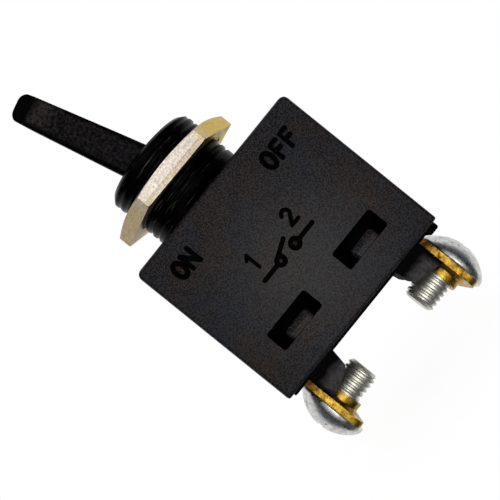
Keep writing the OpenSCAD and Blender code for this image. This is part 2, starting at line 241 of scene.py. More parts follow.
threadSet = {
    "glintStreaks": (380, 380, 6500),
    "glintDetail": 2.0,
    "tones": [(0.64, (0.0003, 0.0003, 0.0003)), (0.74, (0.045, 0.045, 0.042))],
    "gloss": {"smooth": 0.15, "rough": 0.3, "bump": 0.4, "level": 0.03},
}


def threadPlastic():
    # smooth and black, with short light streaks along the thread that are painted glints
    material, nodes, links, shader, coords = newMaterial("threadAndShadeBlack")
    glintStreaks = noise(nodes, links, stretched(nodes, links, coords, threadSet["glintStreaks"]), 1.0,
                   threadSet["glintDetail"])
    links.new(ramp(nodes, links, glintStreaks, threadSet["tones"]), shader.inputs["Base Color"])
    mouldGloss(nodes, links, shader, coords, threadSet["gloss"])
    return material


threadAndShadeBlack = threadPlastic()

blockSet = {
    "rim": -24.0, "clear": -25.0,
    "left": -8.2, "right": 12.0, "strip": 0.8,
    "stray": 1.0, "strayNoise": (900.0, 3.0, 0.6),
    "grain": (2400.0, 3.0, 0.7),
    "unshaded": [(0.36, (0.0285, 0.0261, 0.0285)), (0.64, (0.0635, 0.0593, 0.0628))],
    "paintedShade": [(0.36, (0.0001, 0.0001, 0.0001)), (0.64, (0.0012, 0.0010, 0.0010))],
    "gloss": {"smooth": 0.3, "rough": 0.5, "bump": 0.5, "level": 0.012},
}


def basePlastic():
    # painted shade darkens the base's blocks toward the housing's rim and toward their strips
    material, nodes, links, shader, coords = newMaterial("baseBlack")
    grain = noise(nodes, links, coords, *blockSet["grain"])
    unshaded = ramp(nodes, links, grain, blockSet["unshaded"])
    paintedShade = ramp(nodes, links, grain, blockSet["paintedShade"])
    # the edge of the painted shade strays a little, so the place is moved by a slow noise
    stray = nodes.new("ShaderNodeVectorMath")
    stray.operation = "MULTIPLY_ADD"
    stray.inputs[1].default_value = [blockSet["stray"] * mm] * 3
    links.new(noise(nodes, links, coords, *blockSet["strayNoise"]), stray.inputs[0])
    links.new(coords, stray.inputs[2])
    place, half, reach = stray.outputs["Vector"], blockSet["stray"] / 2, blockSet["strip"]
    left, right = blockSet["left"] + half, blockSet["right"] + half
    share = joined(nodes, links, [
        along(nodes, links, place, "Z", blockSet["rim"] + half, blockSet["clear"] + half),
        along(nodes, links, place, "X", left, left + reach),
        along(nodes, links, place, "X", right, right - reach),
    ], "MULTIPLY")
    links.new(mixed(nodes, links, share, paintedShade, unshaded), shader.inputs["Base Color"])
    mouldGloss(nodes, links, shader, coords, blockSet["gloss"])
    return material


leverSet = {
    "patches": (2500.0, 3.0, 0.65),
    "slow": (420.0, 3.0, 0.6), "slowSpread": (-0.3, 1.3),
    "less": [(0.44, (0.0002, 0.0001, 0.0002)), (0.66, (0.0092, 0.0087, 0.0134))],
    "more": [(0.43, (0.0002, 0.0001, 0.0002)), (0.65, (0.0222, 0.0175, 0.0175))],
    "most": [(0.37, (0.0015, 0.0012, 0.0014)), (0.63, (0.0370, 0.0297, 0.0303))],
    "plain": [(0.40, (0.0001, 0.0001, 0.0001)), (0.60, (0.0006, 0.0004, 0.0004))],
    "mostFrom": (19.4, 21.4),
    "tip": (21.6, 22.8),
    "flat": (0.85, 0.99),  # how squarely a face looks to the front or the back
    "edgeLean": 12,
    "edge": (-1.15, -0.75),
    "gloss": {"smooth": 0.3, "rough": 0.45, "bump": 0.6, "level": 0.035},
}


def leverPlastic():
    # lighter in mottled patches on the flats, most of all near the tip, partly wear and partly a painted
    # sheen where the flats face the lamps; painted shade keeps the round edges and the tip dark
    material, nodes, links, shader, coords = newMaterial("leverBlack")
    patches = noise(nodes, links, coords, *leverSet["patches"])
    slow = spread(nodes, links, noise(nodes, links, coords, *leverSet["slow"]), *leverSet["slowSpread"])
    less, more, most, plain = (ramp(nodes, links, patches, leverSet[name])
                               for name in ("less", "more", "most", "plain"))
    nearTip = along(nodes, links, coords, "Z", *leverSet["mostFrom"])
    wearAndSheen = mixed(nodes, links, nearTip, mixed(nodes, links, slow, less, more), most)
    # the edge toward ON keeps a broader border of painted shade
    turned = nodes.new("ShaderNodeMapping")
    turned.inputs["Rotation"].default_value = (0, math.radians(leverSet["edgeLean"]), 0)
    links.new(coords, turned.inputs["Vector"])
    pastBorder = along(nodes, links, turned.outputs["Vector"], "X", *leverSet["edge"])
    wearAndSheen = mixed(nodes, links, pastBorder, plain, wearAndSheen)
    wearAndSheen = mixed(nodes, links, along(nodes, links, coords, "Z", *leverSet["tip"]), wearAndSheen, plain)
    # the flats take the lighter tones as a painted sheen, and the round edges keep the dark tone as a painted
    # shade
    facing = nodes.new("ShaderNodeVectorMath")
    facing.operation = "ABSOLUTE"
    links.new(coords.node.outputs["Normal"], facing.inputs[0])
    onFlat = along(nodes, links, facing.outputs["Vector"], "Y", *leverSet["flat"], unit=1)
    links.new(mixed(nodes, links, onFlat, plain, wearAndSheen), shader.inputs["Base Color"])
    mouldGloss(nodes, links, shader, coords, leverSet["gloss"])
    return material


nylonSet = {
    "cloud": (700.0, 3.0),
    "tones": [(0.3, (0.66, 0.62, 0.53)), (0.7, (0.80, 0.77, 0.69))],
    "rough": (0.38, 0.5),
    "milky": 0.1,
}


def naturalNylon():
    material, nodes, links, shader, coords = newMaterial("naturalNylon")
    cloud = noise(nodes, links, coords, *nylonSet["cloud"])
    links.new(ramp(nodes, links, cloud, nylonSet["tones"]), shader.inputs["Base Color"])
    links.new(spread(nodes, links, cloud, *nylonSet["rough"]), shader.inputs["Roughness"])
    shader.inputs["Subsurface Weight"].default_value = nylonSet["milky"]
    return material


# metals: fine lines, drawn, rolled or turned along one direction of the piece, in gloss and relief

lineDetail = 4.0


def metalGloss(nodes, links, shader, coords, lines, rough, strength, depth):
    streak = noise(nodes, links, stretched(nodes, links, coords, lines), 1.0, lineDetail)
    shader.inputs["Metallic"].default_value = 1.0
    links.new(spread(nodes, links, streak, *rough), shader.inputs["Roughness"])
    links.new(bump(nodes, links, streak, strength, depth), shader.inputs["Normal"])


metalSet = {
    "cloudDetail": (5.0, 0.65),
    "bump": 0.35, "depth": 0.03,
    "pits": (1900.0, 1.0),
    "pitTones": [(0.66, white), (0.70, (0.3, 0.3, 0.32))],
    "rimShadeTones": [(0.0, (0.16, 0.12, 0.10)), (1.0, white)],
}


def workedMetal(name, dark, light, rough, lines, cloud=420.0, stops=(0.3, 0.7), pitted=False, rimShade=None):
    # a cloudy tone, small dark pits, and a painted shadow that clears from one height to another
    material, nodes, links, shader, coords = newMaterial(name)
    clouds = noise(nodes, links, coords, cloud, *metalSet["cloudDetail"])
    tone = ramp(nodes, links, clouds, list(zip(stops, (dark, light))))
    if pitted:
        pits = ramp(nodes, links, noise(nodes, links, coords, *metalSet["pits"]), metalSet["pitTones"])
        tone = colourMix(nodes, links, tone, pits, "MULTIPLY").outputs["Result"]
    if rimShade:
        shadeCover = ramp(nodes, links, along(nodes, links, coords, "Z", *rimShade), metalSet["rimShadeTones"])
        tone = colourMix(nodes, links, tone, shadeCover, "MULTIPLY").outputs["Result"]
    links.new(tone, shader.inputs["Base Color"])
    metalGloss(nodes, links, shader, coords, lines, rough, metalSet["bump"], metalSet["depth"])
    return material


platingSet = {
    "cloud": (4800.0, 3.0, 0.75),
    "lines": (900, 900, 6000), "rough": (0.3, 0.5), "bump": 0.6, "depth": 0.04,
    "across": (-9.8, 9.8),
    "stops": (0.22, 0.32, 0.74, 0.84),
    # the first and last colours are painted reflections on the side flats
    "dark": [(0.30, 0.225, 0.12), (0.24, 0.21, 0.175), (0.24, 0.21, 0.175), (0.40, 0.27, 0.035)],
    "light": [(0.66, 0.52, 0.29), (0.84, 0.76, 0.665), (0.84, 0.76, 0.665), (0.80, 0.57, 0.10)],
    "front": [(0.26, black), (0.30, white), (0.75, white), (0.79, black)],
    "height": (3.5, 5.5),
    "rolled": [(0.24, (0.84, 0.78, 0.70)), (0.28, (0.66, 0.60, 0.53)), (0.31, (0.66, 0.60, 0.53)),
               (0.36, white)],
}


def nutPlatingAndReflections():
    # bright plating with painted reflections: beige on the flat toward ON and gold on the one toward OFF
    material, nodes, links, shader, coords = newMaterial("nutPlatingAndReflections")
    cloud = spread(nodes, links, noise(nodes, links, coords, *platingSet["cloud"]), 0.0, 1.0)
    # across the nut, so that the side flats take their painted reflections
    across = along(nodes, links, coords, "X", *platingSet["across"])
    dark, light = (ramp(nodes, links, across, list(zip(platingSet["stops"], platingSet[name])))
                   for name in ("dark", "light"))
    # a rolled line low on the front flat, with a duller band under it
    height = along(nodes, links, coords, "Z", *platingSet["height"])
    rolled = ramp(nodes, links, height, platingSet["rolled"])
    plating = colourMix(nodes, links, mixed(nodes, links, cloud, dark, light), rolled, "MULTIPLY")
    links.new(ramp(nodes, links, across, platingSet["front"]), plating.inputs["Factor"])
    links.new(plating.outputs["Result"], shader.inputs["Base Color"])
    metalGloss(nodes, links, shader, coords, platingSet["lines"], platingSet["rough"], platingSet["bump"],
               platingSet["depth"])
    return material


finishes = {
    "moulded_black": housingBlack,
    "base_black": basePlastic(),
    "lever_black": leverPlastic(),
    "nut_plating": nutPlatingAndReflections(),
    "screw_plating": workedMetal(
        "screwZinc", dark=(0.38, 0.385, 0.39), light=(0.72, 0.71, 0.68), rough=(0.22, 0.36),
        lines=(2500, 2500, 2500), cloud=1700.0, stops=(0.34, 0.66), pitted=True),
    # the strips take a painted shadow below the housing's rim
    "strip_brass": workedMetal(
        "stripBrass", dark=(0.075, 0.030, 0.002), light=(0.59, 0.37, 0.052), rough=(0.26, 0.46),
        lines=(3500, 3500, 900), cloud=1500.0, stops=(0.34, 0.66), rimShade=(-23.9, -25.3)),
    "pin_steel": workedMetal(
        "pinSteel", dark=(0.45, 0.45, 0.46), light=(0.62, 0.62, 0.63), rough=(0.15, 0.3),
        lines=(4000, 300, 4000)),
    "spring_steel": workedMetal(
        "springSteel", dark=(0.36, 0.36, 0.38), light=(0.52, 0.52, 0.54), rough=(0.25, 0.4),
        lines=(3000, 3000, 3000)),
    "plunger_nylon": naturalNylon(),
    "rocker_copper": workedMetal(
        "rockerCopper", dark=(0.52, 0.27, 0.15), light=(0.78, 0.46, 0.30), rough=(0.22, 0.4),
        lines=(700, 5000, 700)),
    "contact_silver": workedMetal(
        "contactSilver", dark=(0.72, 0.71, 0.68), light=(0.90, 0.89, 0.87), rough=(0.15, 0.28),
        lines=(3000, 3000, 3000)),
}
threadZinc = workedMetal(
    "threadZinc", dark=(0.50, 0.49, 0.44), light=(0.80, 0.79, 0.71), rough=(0.38, 0.5),
    lines=(2500, 2500, 2500))
bodyNodes = frame["record"]["behaviour"]["bodies"]
nodeBodies = {node: body for body, members in bodyNodes.items() for node in members}
nodeSlots = {part["node"]: part["material_slot"] for part in frame["record"]["subparts"]}
for nodeName, nodeObject in cadNodes.items():
    nodeObject.data.materials.clear()
    nodeObject.data.materials.append(finishes[nodeSlots[nodeName]])
print("materials ready:", len(bpy.data.materials))


# modelling helpers

weldSet = {"cad": 0.002, "turned": 0.0005, "carved": 0.0003, "flatAngle": 0.4}  # gaps in millimetres
touching = 0.001  # a point this near a plane lies in it
zAxis = (0, 0, 1)
origin = (0, 0, 0)


def boxOf(nodeName):
    low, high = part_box(nodeName)
    return Vector(low) / mm, Vector(high) / mm


def cadCopy(nodeName):
    bm = bmesh.new()
    bm.from_mesh(cadNodes[nodeName].data)
    bmesh.ops.scale(bm, vec=(1 / mm, 1 / mm, 1 / mm), verts=bm.verts)
    bmesh.ops.remove_doubles(bm, verts=bm.verts, dist=weldSet["cad"])
    bmesh.ops.dissolve_limit(bm, angle_limit=math.radians(weldSet["flatAngle"]), verts=bm.verts,
                             edges=bm.edges)
    return bm


def roundEdges(bm, edges, offset, segments):
    bmesh.ops.bevel(bm, geom=edges, offset=offset, offset_type="OFFSET", affect="EDGES", segments=segments,
                    profile=0.5, material=-1)


def oddEdges(bm):
    return sum(not edge.is_manifold for edge in bm.edges)


def workObject(name, bm, materials):
    mesh = bpy.data.meshes.new(name)
    bm.to_mesh(mesh)
    bm.free()
    for material in materials:
        mesh.materials.append(material)
    workpiece = bpy.data.objects.new(name, mesh)
    bpy.context.scene.collection.objects.link(workpiece)
    return workpiece


def turnedBody(name, profile, steps, materials):
    # an outline in radius and height, turned once round the Z axis
    bm = bmesh.new()
    verts = [bm.verts.new((radius, 0, z)) for radius, z in profile]
    outline = [bm.edges.new(pair) for pair in zip(verts, verts[1:])]
    bmesh.ops.spin(bm, geom=verts + outline, cent=origin, axis=zAxis, dvec=(0, 0, 0), angle=math.tau,
                   steps=steps, use_merge=True, use_duplicate=False)
    bmesh.ops.remove_doubles(bm, verts=bm.verts, dist=weldSet["turned"])
    bmesh.ops.recalc_face_normals(bm, faces=bm.faces)
    return workObject(name, bm, materials)


def carve(workpiece, cutter, operation="DIFFERENCE", crossing=False):
    # the carving leaves points that nearly meet, and these are welded
    step = workpiece.modifiers.new("carve", "BOOLEAN")
    step.operation = operation
    step.solver = "EXACT"
    step.use_self = crossing
    step.material_mode = "TRANSFER"
    step.object = cutter
    graph = bpy.context.evaluated_depsgraph_get()
    carved = bpy.data.meshes.new_from_object(workpiece.evaluated_get(graph))
    bm = bmesh.new()
    bm.from_mesh(carved)
    bmesh.ops.remove_doubles(bm, verts=bm.verts, dist=weldSet["carved"])
    bmesh.ops.dissolve_degenerate(bm, edges=bm.edges, dist=weldSet["carved"])
    bm.to_mesh(carved)
    print("carved:", workpiece.name, "with", oddEdges(bm), "open or doubled edges")
    bm.free()
    workpiece.modifiers.clear()
    workpiece.data = carved
    bpy.data.objects.remove(cutter)


grooveSet = {"past": 0.15, "mouth": 0.46, "floor": 0.08}


def helixGroove(name, thread, material):
    # a groove's section, its widths in shares of the pitch, swept up round the Z axis
    crest, root, pitch = thread["crest"], thread["root"], thread["pitch"]
    mouth, floor = grooveSet["mouth"], grooveSet["floor"]
    outer = crest + math.copysign(grooveSet["past"], crest - root)
    section = [(outer, -mouth), (root, -floor), (root, floor), (outer, mouth)]
    bm = bmesh.new()
    corners = [bm.verts.new((radius, 0, thread["low"] + share * pitch)) for radius, share in section]
    start = bm.faces.new(corners)
    steps = round((thread["high"] - thread["low"]) / pitch * thread["steps"])
    bmesh.ops.spin(bm, geom=[start], cent=origin, axis=zAxis, dvec=(0, 0, pitch / thread["steps"]),
                   angle=math.tau * steps / thread["steps"], steps=steps, use_merge=False,
                   use_duplicate=False)
    bmesh.ops.recalc_face_normals(bm, faces=bm.faces)
    return workObject(name, bm, [material])


def finishPiece(workpiece, nodeName, sharpAngle=35):
    mesh = workpiece.data
    mesh.transform(Matrix.Scale(mm, 4))
    mesh.polygons.foreach_set("use_smooth", [True] * len(mesh.polygons))
    mesh.set_sharp_from_angle(angle=math.radians(sharpAngle))
    evener = workpiece.modifiers.new("evenNormals", "WEIGHTED_NORMAL")
    evener.keep_sharp = True
    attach(workpiece, nodeBodies[nodeName])
    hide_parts(nodeName)
    print("piece ready:", workpiece.name, len(mesh.polygons), "faces")


# engraved marks: the words ON and OFF, the digits 1 and 2 and the sign of a switch

markSet = {
    "depth": 0.2,
    "bold": 0.33, "line": 0.3, "digit": 0.26, "thin": 0.22,
    "wordTop": -2.55, "wordLow": -4.5,
    "oCentres": (-7.48, 8.12), "oHalf": 0.6,
    "fStems": (9.35, 11.05), "fTop": 0.95, "fBar": 0.8, "fBarLift": 0.05,
    "nStems": (-6.38, -5.18),
    "digitTop": -8.15, "digitLow": -10.0,
    "oneStem": -1.67, "oneFlag": -2.1, "oneFlagDrop": 0.45, "oneFootDrop": 0.1,
    "twoCentre": 4.65, "twoRadius": 0.5, "twoTurn": (165, -30), "twoFoot": (4.15, 5.25),
    "signLine": -11.52,
    "wires": ((-2.5, -0.2), (3.4, 5.8)),
    "rings": ((0.33, 0.5), (2.83, 0.56)),
    "arm": ((0.45, 0.535), (2.4, 1.36)),
    "ringSteps": 24, "arcSteps": 10,
    "tubeSteps": 3, "ballSteps": (16, 10), "ballShare": 0.999,
}


def markStrokes():
    # each stroke is its points in x and z, whether it closes, and the cutter's radius
    bold, line, digit, thin = (markSet[name] for name in ("bold", "line", "digit", "thin"))
    top, low = markSet["wordTop"], markSet["wordLow"]
    middle = (top + low) / 2

    def ring(x, z, wide, tall, radius):
        turns = [math.tau * i / markSet["ringSteps"] for i in range(markSet["ringSteps"])]
        return [(x + wide * math.cos(t), z + tall * math.sin(t)) for t in turns], True, radius

    def arc(x, z, radius, start, end):
        count = markSet["arcSteps"]
        turns = [math.radians(start + (end - start) * i / count) for i in range(count + 1)]
        return [(x + radius * math.cos(t), z + radius * math.sin(t)) for t in turns]

    def path(points, radius):
        return points, False, radius

    strokes = [ring(x, middle, markSet["oHalf"], (top - low) / 2, bold) for x in markSet["oCentres"]]
    bar = middle + markSet["fBarLift"]
    for x in markSet["fStems"]:
        strokes += [path([(x + markSet["fTop"], top), (x, top), (x, low)], bold),
                    path([(x, bar), (x + markSet["fBar"], bar)], bold)]
    left, right = markSet["nStems"]
    strokes += [path([(left, low), (left, top)], bold), path([(left, top), (right, low)], bold),
                path([(right, low), (right, top)], bold)]

    top, low = markSet["digitTop"], markSet["digitLow"]
    stem = markSet["oneStem"]
    strokes += [path([(markSet["oneFlag"], top - markSet["oneFlagDrop"]), (stem, top)], thin),
                path([(stem, top), (stem, low - markSet["oneFootDrop"])], thin)]
    left, right = markSet["twoFoot"]
    bow = arc(markSet["twoCentre"], top - markSet["twoRadius"], markSet["twoRadius"], *markSet["twoTurn"])
    strokes += [path(bow + [(left, low)], digit), path([(left, low), (right, low)], digit)]

    level = markSet["signLine"]
    wires = [path([(start, level), (end, level)], line) for start, end in markSet["wires"]]
    rings = [ring(x, level, radius, radius, line) for x, radius in markSet["rings"]]
    arm = path([(x, level + rise) for x, rise in markSet["arm"]], line)
    return strokes + [wires[0], rings[0], arm, rings[1], wires[1]]


def markCutter(frontY):
    # a ball-nosed cutter run along every stroke
    bm = bmesh.new()
    aroundSteps, overSteps = markSet["ballSteps"]
    for points, closed, radius in markStrokes():
        axisY = frontY + markSet["depth"] - radius
        curve = bpy.data.curves.new("stroke", "CURVE")
        curve.dimensions = "3D"
        curve.bevel_depth = radius
        curve.bevel_resolution = markSet["tubeSteps"]
        curve.use_fill_caps = True
        spline = curve.splines.new("POLY")
        spline.points.add(len(points) - 1)
        for point, (x, z) in zip(spline.points, points):
            point.co = (x, axisY, z, 1)
        spline.use_cyclic_u = closed
        tube = bpy.data.objects.new("stroke", curve)
        bpy.context.scene.collection.objects.link(tube)
        graph = bpy.context.evaluated_depsgraph_get()
        mesh = bpy.data.meshes.new_from_object(tube.evaluated_get(graph))
        bm.from_mesh(mesh)
        bpy.data.objects.remove(tube)
        if not closed:
            for x, z in (points[0], points[-1]):
                bmesh.ops.create_uvsphere(bm, u_segments=aroundSteps, v_segments=overSteps,
                                          radius=radius * markSet["ballShare"],
                                          matrix=Matrix.Translation((x, axisY, z)))
    bmesh.ops.remove_doubles(bm, verts=bm.verts, dist=weldSet["turned"])
    bmesh.ops.recalc_face_normals(bm, faces=bm.faces)
    return workObject("markCutter", bm, [markAndShadeBlack])


# housing: the moulded box with its round window corners, engraved marks and thread

housingSet = {
    "thread": {"crest": 7.0, "root": 6.8, "pitch": 1.0, "low": 0.9, "high": 9.8, "steps": 48},
    "windowRound": 0.35, "windowSteps": 4,
    "straight": 0.99, "square": 0.1, "thinWall": 1.0,  # what counts as an edge through a wall
    "skin": 0.6, "seat": 0.01,
}


def windowCorners(bm):
    # hollow edges that run straight from front to back, lower than the marks
    def runsBack(edge):
        depth = abs(edge.verts[0].co.y - edge.verts[1].co.y)
        return depth > housingSet["straight"] * edge.calc_length() > housingSet["thinWall"]

    return [edge for edge in bm.edges if runsBack(edge) and not edge.is_convex
            and all(abs(face.normal.y) < housingSet["square"] for face in edge.link_faces)
            and edge.verts[0].co.z < markSet["signLine"]]


def refillWall(bm, y):
    flat = [face for face in bm.faces if all(abs(vert.co.y - y) < touching for vert in face.verts)]
    rim = [edge for edge in bm.edges if sum(face in flat for face in edge.link_faces) == 1]
    bmesh.ops.delete(bm, geom=flat, context="FACES")
    bmesh.ops.triangle_fill(bm, edges=rim, use_beauty=True, use_dissolve=False,
                            normal=(0, math.copysign(1, y), 0))


def makeHousing():
    low, high = boxOf("housing")
    bm = cadCopy("housing")
    corners = windowCorners(bm)
    walls = sorted({round(vert.co.y, 3) for edge in corners for vert in edge.verts})
    print("window corners to round:", len(corners))
    roundEdges(bm, corners, housingSet["windowRound"], housingSet["windowSteps"])
    # the rounding folds some faces of the flat walls over, so the walls are filled again
    for y in walls:
        refillWall(bm, y)
    bmesh.ops.recalc_face_normals(bm, faces=bm.faces)
    print("walls filled again:", len(walls), "with", oddEdges(bm), "open or doubled edges")
    shell = workObject("housing_shell", bm, [housingBlack, threadAndShadeBlack, markAndShadeBlack])
    # the crossing strokes are carved while the shell has no thread yet
    carve(shell, markCutter(low.y), crossing=True)
    carve(shell, helixGroove("bushingGroove", housingSet["thread"], threadAndShadeBlack))
    # the bushing takes the smooth black; the walls inside the housing take it too, as painted shade for the
    # dark inside
    smooth = shell.data.materials.find(threadAndShadeBlack.name)
    skin = housingSet["skin"]
    for face in shell.data.polygons:
        place = face.center
        inside = abs(place.y) < high.y - skin and low.x + skin < place.x < high.x - skin and place.z < -skin
        if place.z > housingSet["seat"] or inside:
            face.material_index = smooth
    finishPiece(shell, "housing")


makeHousing()


# terminal base: near-black as painted shade in the housing and on the blocks' sides, grained on the hook
# teeth in its windows

baseSet = {
    "toothRound": 0.4, "keyRound": 0.3, "roundSteps": 3,
    "faceSkin": 0.02, "keyDrop": 0.5, "underside": -0.5, "sideways": 0.7,
    "sharpAngle": 15,
}


def makeBase():
    faceEdge = boxOf("terminal_base")[1].y - baseSet["faceSkin"]
    rim = boxOf("housing")[0].z
    stripFace = boxOf("load_terminal")[1].x
    keyTop = rim - baseSet["keyDrop"]
    bm = cadCopy("terminal_base")
    convex = [edge for edge in bm.edges if edge.is_convex]
    teeth = [edge for edge in convex if any(abs(vert.co.y) > faceEdge for vert in edge.verts)
             and all(vert.co.z > rim for vert in edge.verts)
             and all(face.normal.z > baseSet["underside"] for face in edge.link_faces)]
    key = [edge for edge in convex
           if all(vert.co.z < keyTop and vert.co.x > stripFace for vert in edge.verts)]
    print("edges to round on the base:", len(teeth), len(key))
    roundEdges(bm, teeth, baseSet["toothRound"], baseSet["roundSteps"])
    roundEdges(bm, key, baseSet["keyRound"], baseSet["roundSteps"])
    base = workObject("hooked_base", bm, [finishes["base_black"], housingBlack, markAndShadeBlack])
    grained, plain = (base.data.materials.find(material.name) for material in (housingBlack, markAndShadeBlack))
    # faces in the housing, except the teeth, and the blocks' sides take the near-black of the marks as
    # painted shade
    for face in base.data.polygons:
        if face.center.z > rim:
            onTooth = abs(face.center.y) > faceEdge - baseSet["toothRound"]
            face.material_index = grained if onTooth else plain
        elif abs(face.normal.x) > baseSet["sideways"]:
            face.material_index = plain
    finishPiece(base, "terminal_base", baseSet["sharpAngle"])


makeBase()


# hex nut: its corners chamfered toward the lever

nutSet = {
    "across": 17.0, "turn": 4.5, "slope": 17.0, "edge": 0.03, "edgeSteps": 2, "lowChamfer": 0.06,
    "bore": 7.06, "countersink": 0.4, "overrun": 1.0,
    "thread": {"crest": 7.06, "root": 7.45, "pitch": 1.0, "low": 2.6, "high": 6.4, "steps": 48},
    "steps": 96, "sharpAngle": 12,
}


def makeNut():
    low, high = boxOf("hex_nut")
    thick = high.z - low.z
    halfSide = math.radians(30)  # half the turn from one flat to the next
    flat = nutSet["across"] / 2
    corner = flat / math.cos(halfSide)
    metal = finishes["nut_plating"]
    bm = bmesh.new()
    bmesh.ops.create_circle(bm, cap_ends=True, segments=6, radius=corner)
    bmesh.ops.rotate(bm, verts=bm.verts, cent=origin,
                     matrix=Matrix.Rotation(halfSide + math.radians(nutSet["turn"]), 3, "Z"))
    bmesh.ops.translate(bm, verts=bm.verts, vec=(0, 0, low.z))
    raised = bmesh.ops.extrude_face_region(bm, geom=bm.faces[:], use_keep_orig=True)["geom"]
    raisedVerts = [item for item in raised if isinstance(item, bmesh.types.BMVert)]
    bmesh.ops.translate(bm, verts=raisedVerts, vec=(0, 0, thick))
    bmesh.ops.recalc_face_normals(bm, faces=bm.faces)
    upright = [edge for edge in bm.edges if abs(edge.verts[0].co.z - edge.verts[1].co.z) > thick / 2]
    roundEdges(bm, upright, nutSet["edge"], nutSet["edgeSteps"])
    nut = workObject("panel_nut", bm, [metal])
    slope = math.tan(math.radians(nutSet["slope"]))
    lowChamfer = nutSet["lowChamfer"]
    profile = [
        (0, low.z), (corner - 2 * lowChamfer, low.z), (corner, low.z + lowChamfer),
        (corner, high.z - (corner - flat) * slope), (flat, high.z), (0, high.z),
    ]
    carve(nut, turnedBody("nutBlank", profile, nutSet["steps"], [metal]), "INTERSECT")
    radius, sink, over = nutSet["bore"], nutSet["countersink"], nutSet["overrun"]
    bore = [
        (0, low.z - over), (radius + sink + over, low.z - over), (radius, low.z + sink),
        (radius, high.z - sink), (radius + sink + over, high.z + over), (0, high.z + over),
    ]
    carve(nut, turnedBody("nutBore", bore, nutSet["steps"], [metal]))
    carve(nut, helixGroove("nutGroove", nutSet["thread"], metal))
    finishPiece(nut, "hex_nut", nutSet["sharpAngle"])


makeNut()


# terminal screws: turned on a lathe profile along Z, then laid along X

screwSet = {
    "headRadius": 4.5, "headHeight": 3.0, "headRound": 1.3, "rim": 0.15, "rimSoft": 0.08,
    "shank": 2.0, "length": 6.0, "chamfer": 0.4,
    "domeSteps": 16, "bendSteps": 8, "steps": 64,
    "thread": {"crest": 2.0, "root": 1.74, "pitch": 0.7, "low": -6.6, "high": -0.9, "steps": 32},
    "threadTop": -0.01,
    "recessLength": 4.4, "recessWidth": 0.95, "recessDepth": 1.7, "recessTaper": 0.55, "recessRise": 0.3,
}


def screwProfile():
    # a dome that runs into a round shoulder, a short rim, and the shank
    rounding = screwSet["headRound"]
    shoulder = screwSet["headRadius"] - rounding
    rise = screwSet["headHeight"] - screwSet["rim"]
    radius = (shoulder ** 2 + rise ** 2 - rounding ** 2) / (2 * (rise - rounding))
    centre = screwSet["headHeight"] - radius
    turn = math.asin(shoulder / (radius - rounding))
    domeSteps, bendSteps = screwSet["domeSteps"], screwSet["bendSteps"]
    lean = [turn * i / domeSteps for i in range(domeSteps + 1)]
    dome = [(radius * math.sin(t), centre + radius * math.cos(t)) for t in lean]
    bend = [turn + (math.pi / 2 - turn) * i / bendSteps for i in range(1, bendSteps + 1)]
    side = [(shoulder + rounding * math.sin(t), screwSet["rim"] + rounding * math.cos(t)) for t in bend]
    soft = screwSet["rimSoft"]
    foot = [(screwSet["headRadius"], soft), (screwSet["headRadius"] - soft, 0)]
    end = -screwSet["length"]
    shank = [(screwSet["shank"], 0), (screwSet["shank"], end + screwSet["chamfer"]),
             (screwSet["shank"] - screwSet["chamfer"], end), (0, end)]
    return dome + side + foot + shank


def recessCutter(metal):
    # two crossed wings that narrow toward the bottom
    bm = bmesh.new()
    top = screwSet["headHeight"] + screwSet["recessRise"]
    bottom = screwSet["headHeight"] - screwSet["recessDepth"]
    for turn in (0, 90):
        wing = bmesh.ops.create_cube(bm, size=1)["verts"]
        for vert in wing:
            upper = vert.co.z > 0
            share = 1.0 if upper else screwSet["recessTaper"]
            vert.co = Vector((vert.co.x * screwSet["recessLength"] * share,
                              vert.co.y * screwSet["recessWidth"] * (1 + share) / 2,
                              top if upper else bottom))
        bmesh.ops.rotate(bm, verts=wing, cent=origin, matrix=Matrix.Rotation(math.radians(turn), 3, "Z"))
    bmesh.ops.recalc_face_normals(bm, faces=bm.faces)
    return workObject("recessCutter", bm, [metal])


def makeScrew(nodeName, pieceName, side):
    metal = finishes[nodeSlots[nodeName]]
    screw = turnedBody(pieceName, screwProfile(), screwSet["steps"], [metal, threadZinc])
    carve(screw, helixGroove("screwGroove", screwSet["thread"], threadZinc))
    carve(screw, recessCutter(metal), crossing=True)
    thread = screw.data.materials.find(threadZinc.name)
    for face in screw.data.polygons:
        if face.center.z < screwSet["threadTop"]:
            face.material_index = thread
    low, high = boxOf(nodeName)
    tip = low.x if side > 0 else high.x
    bearing = tip + side * screwSet["length"]
    turn = Matrix.Rotation(math.radians(90 * side), 4, "Y")
    screw.data.transform(Matrix.Translation((bearing, 0, (low.z + high.z) / 2)) @ turn)
    finishPiece(screw, nodeName)


makeScrew("terminal_screw_1", "screw_on_strip_1", -1)
makeScrew("terminal_screw_2", "screw_on_strip_2", 1)


# toggle spring: the coil in the lever's lower arm

springSet = {"wire": 0.44, "turns": 5.5, "steps": 28, "wireSteps": 12, "sharpAngle": 60}


